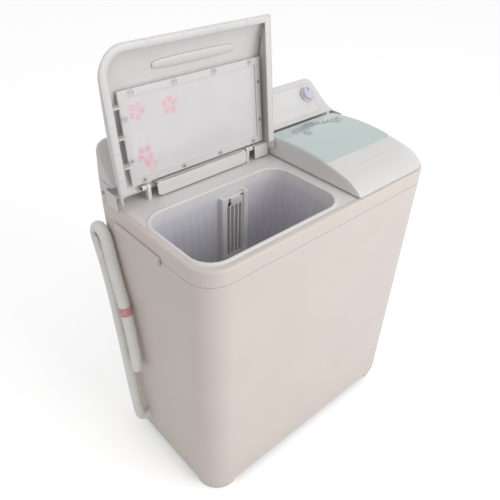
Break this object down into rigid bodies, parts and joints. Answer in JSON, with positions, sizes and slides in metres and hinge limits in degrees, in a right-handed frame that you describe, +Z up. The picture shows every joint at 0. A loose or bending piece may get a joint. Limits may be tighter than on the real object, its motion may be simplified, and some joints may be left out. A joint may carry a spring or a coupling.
{
  "type": "washing machine",
  "caption": "Twin-tub washing machine with a hinged wash lid standing open, a glazed spin lid, control knobs on a rear console and a folded drain hose.",
  "frame": {"origin": "on the floor under the middle of the machine", "axes": "+X to the right of someone standing in front, +Y to the back where the console is, +Z up"},
  "size_m": [0.8145, 0.446, 1.1548],
  "materials": {
    "body_plastic": "satin moulded",
    "frame_plastic": "satin moulded",
    "lid_plastic": "satin moulded",
    "knob_plastic": "satin",
    "window": "pale print behind clear sheet",
    "green_glass": "back-painted glass",
    "tub_plastic": "matt moulded",
    "white_plastic": "moulded",
    "grey_plastic": "moulded",
    "steel": "zinc plated",
    "dark_metal": "painted",
    "cast_metal": "die cast",
    "rubber": "matt",
    "hose_plastic": "flexible",
    "tie_tape": "tape"
  },
  "bodies": {
    "machine": {"cabinet": "body_plastic", "base_plate": "grey_plastic", "feet": "body_plastic", "rear_cover": "steel", "rear_screws": "steel", "top_frame": "frame_plastic", "grips": "frame_plastic", "console_shell": "frame_plastic", "console_panel": "frame_plastic", "console_screws": "steel", "wash_timer": "white_plastic", "spin_timer": "white_plastic", "drain_selector": "white_plastic", "wash_lid_pins": "steel", "spin_lid_pins": "steel", "wash_tub": "tub_plastic", "filter_housing": "tub_plastic", "wash_gearbox": "cast_metal", "drive_belt": "rubber", "wash_motor": "dark_metal", "motor_plate": "dark_metal", "motor_bushes": "rubber", "spin_tub": "tub_plastic", "spin_seal": "rubber", "brake_spring": "steel", "spin_motor": "dark_metal", "spin_motor_plate": "dark_metal", "suspension_springs": "steel", "drain_valve": "white_plastic", "overflow_pipe": "white_plastic", "drain_duct": "white_plastic", "lid_switch": "white_plastic", "capacitors": "grey_plastic", "fill_pipe": "white_plastic", "cord_gland": "grey_plastic", "hose_hook": "white_plastic", "hose_tie": "tie_tape", "drain_hose": "hose_plastic"},
    "wash_lid_body": {"wash_lid": "lid_plastic", "wash_lid_frame": "lid_plastic", "wash_lid_window": "window", "wash_lid_screws": "steel"},
    "spin_lid_body": {"spin_lid": "lid_plastic", "spin_lid_glass": "green_glass"},
    "safety_lid_body": {"spin_safety_lid": "white_plastic"},
    "wash_knob_body": {"wash_timer_knob": "knob_plastic"},
    "drain_knob_body": {"drain_knob": "knob_plastic"},
    "spin_knob_body": {"spin_timer_knob": "knob_plastic"},
    "plunger_body": {"drain_plunger": "grey_plastic"},
    "filter_body": {"lint_filter": "tub_plastic"},
    "agitator_body": {"pulsator": "white_plastic", "pulsator_screw": "steel", "wash_shaft": "steel", "wash_pulley": "cast_metal"},
    "motor_pulley_body": {"motor_pulley": "cast_metal"},
    "drier_body": {"spin_basket": "white_plastic", "spin_shaft": "steel", "brake_drum": "cast_metal"},
    "brake_lever_body": {"brake_lever": "steel"}
  },
  "joints": [
    {"name": "wash_lid_hinge", "type": "hinge", "parent": "machine", "child": "wash_lid_body", "pos_m": [0, 0.108, 0.832], "axis": [1, 0, 0], "range_deg": [0, 96]},
    {"name": "spin_lid_hinge", "type": "hinge", "parent": "machine", "child": "spin_lid_body", "pos_m": [0.231, 0.108, 0.832], "axis": [-1, 0, 0], "range_deg": [0, 95]},
    {"name": "safety_lid_hinge", "type": "hinge", "parent": "machine", "child": "safety_lid_body", "pos_m": [0.231, 0.07, 0.8043], "axis": [-1, 0, 0], "range_deg": [0, 78]},
    {"name": "wash_timer_turn", "type": "hinge", "parent": "machine", "child": "wash_knob_body", "pos_m": [-0.26, 0.186, 0.88775], "axis": [0, -0.7149, 0.6992], "range_deg": [-300, 0]},
    {"name": "drain_selector_turn", "type": "hinge", "parent": "machine", "child": "drain_knob_body", "pos_m": [0.06, 0.186, 0.88775], "axis": [0, -0.7149, 0.6992], "range_deg": [0, 90]},
    {"name": "spin_timer_turn", "type": "hinge", "parent": "machine", "child": "spin_knob_body", "pos_m": [0.314, 0.186, 0.88775], "axis": [0, -0.7149, 0.6992], "range_deg": [-300, 0]},
    {"name": "drain_plunger_lift", "type": "slide", "parent": "machine", "child": "plunger_body", "axis": [0, 0, 1], "range_m": [0, 0.012]},
    {"name": "lint_filter_lift", "type": "slide", "parent": "machine", "child": "filter_body", "axis": [0, 0, 1], "range_m": [0, 0.055]},
    {"name": "pulsator_spin", "type": "hinge", "parent": "machine", "child": "agitator_body", "pos_m": [-0.153, -0.076, 0.345], "axis": [0, 0, 1], "continuous": true},
    {"name": "motor_pulley_spin", "type": "hinge", "parent": "machine", "child": "motor_pulley_body", "pos_m": [-0.3, -0.076, 0.211], "axis": [0, 0, 1], "continuous": true},
    {"name": "basket_spin", "type": "hinge", "parent": "machine", "child": "drier_body", "pos_m": [0.231, -0.063, 0.362], "axis": [0, 0, 1], "continuous": true},
    {"name": "brake_lever_swing", "type": "hinge", "parent": "machine", "child": "brake_lever_body", "pos_m": [0.191, 0.008, 0.295], "axis": [0, 0, -1], "range_deg": [0, 3.2]}
  ],
  "couplings": [
    {"joint": "safety_lid_hinge", "follows": "spin_lid_hinge", "ratio": 0.8},
    {"joint": "brake_lever_swing", "follows": "spin_lid_hinge", "ratio": 0.03358},
    {"joint": "drain_selector_turn", "follows": "drain_plunger_lift", "rad_per_m": 130.8},
    {"joint": "motor_pulley_spin", "follows": "pulsator_spin", "ratio": 3.4}
  ]
}
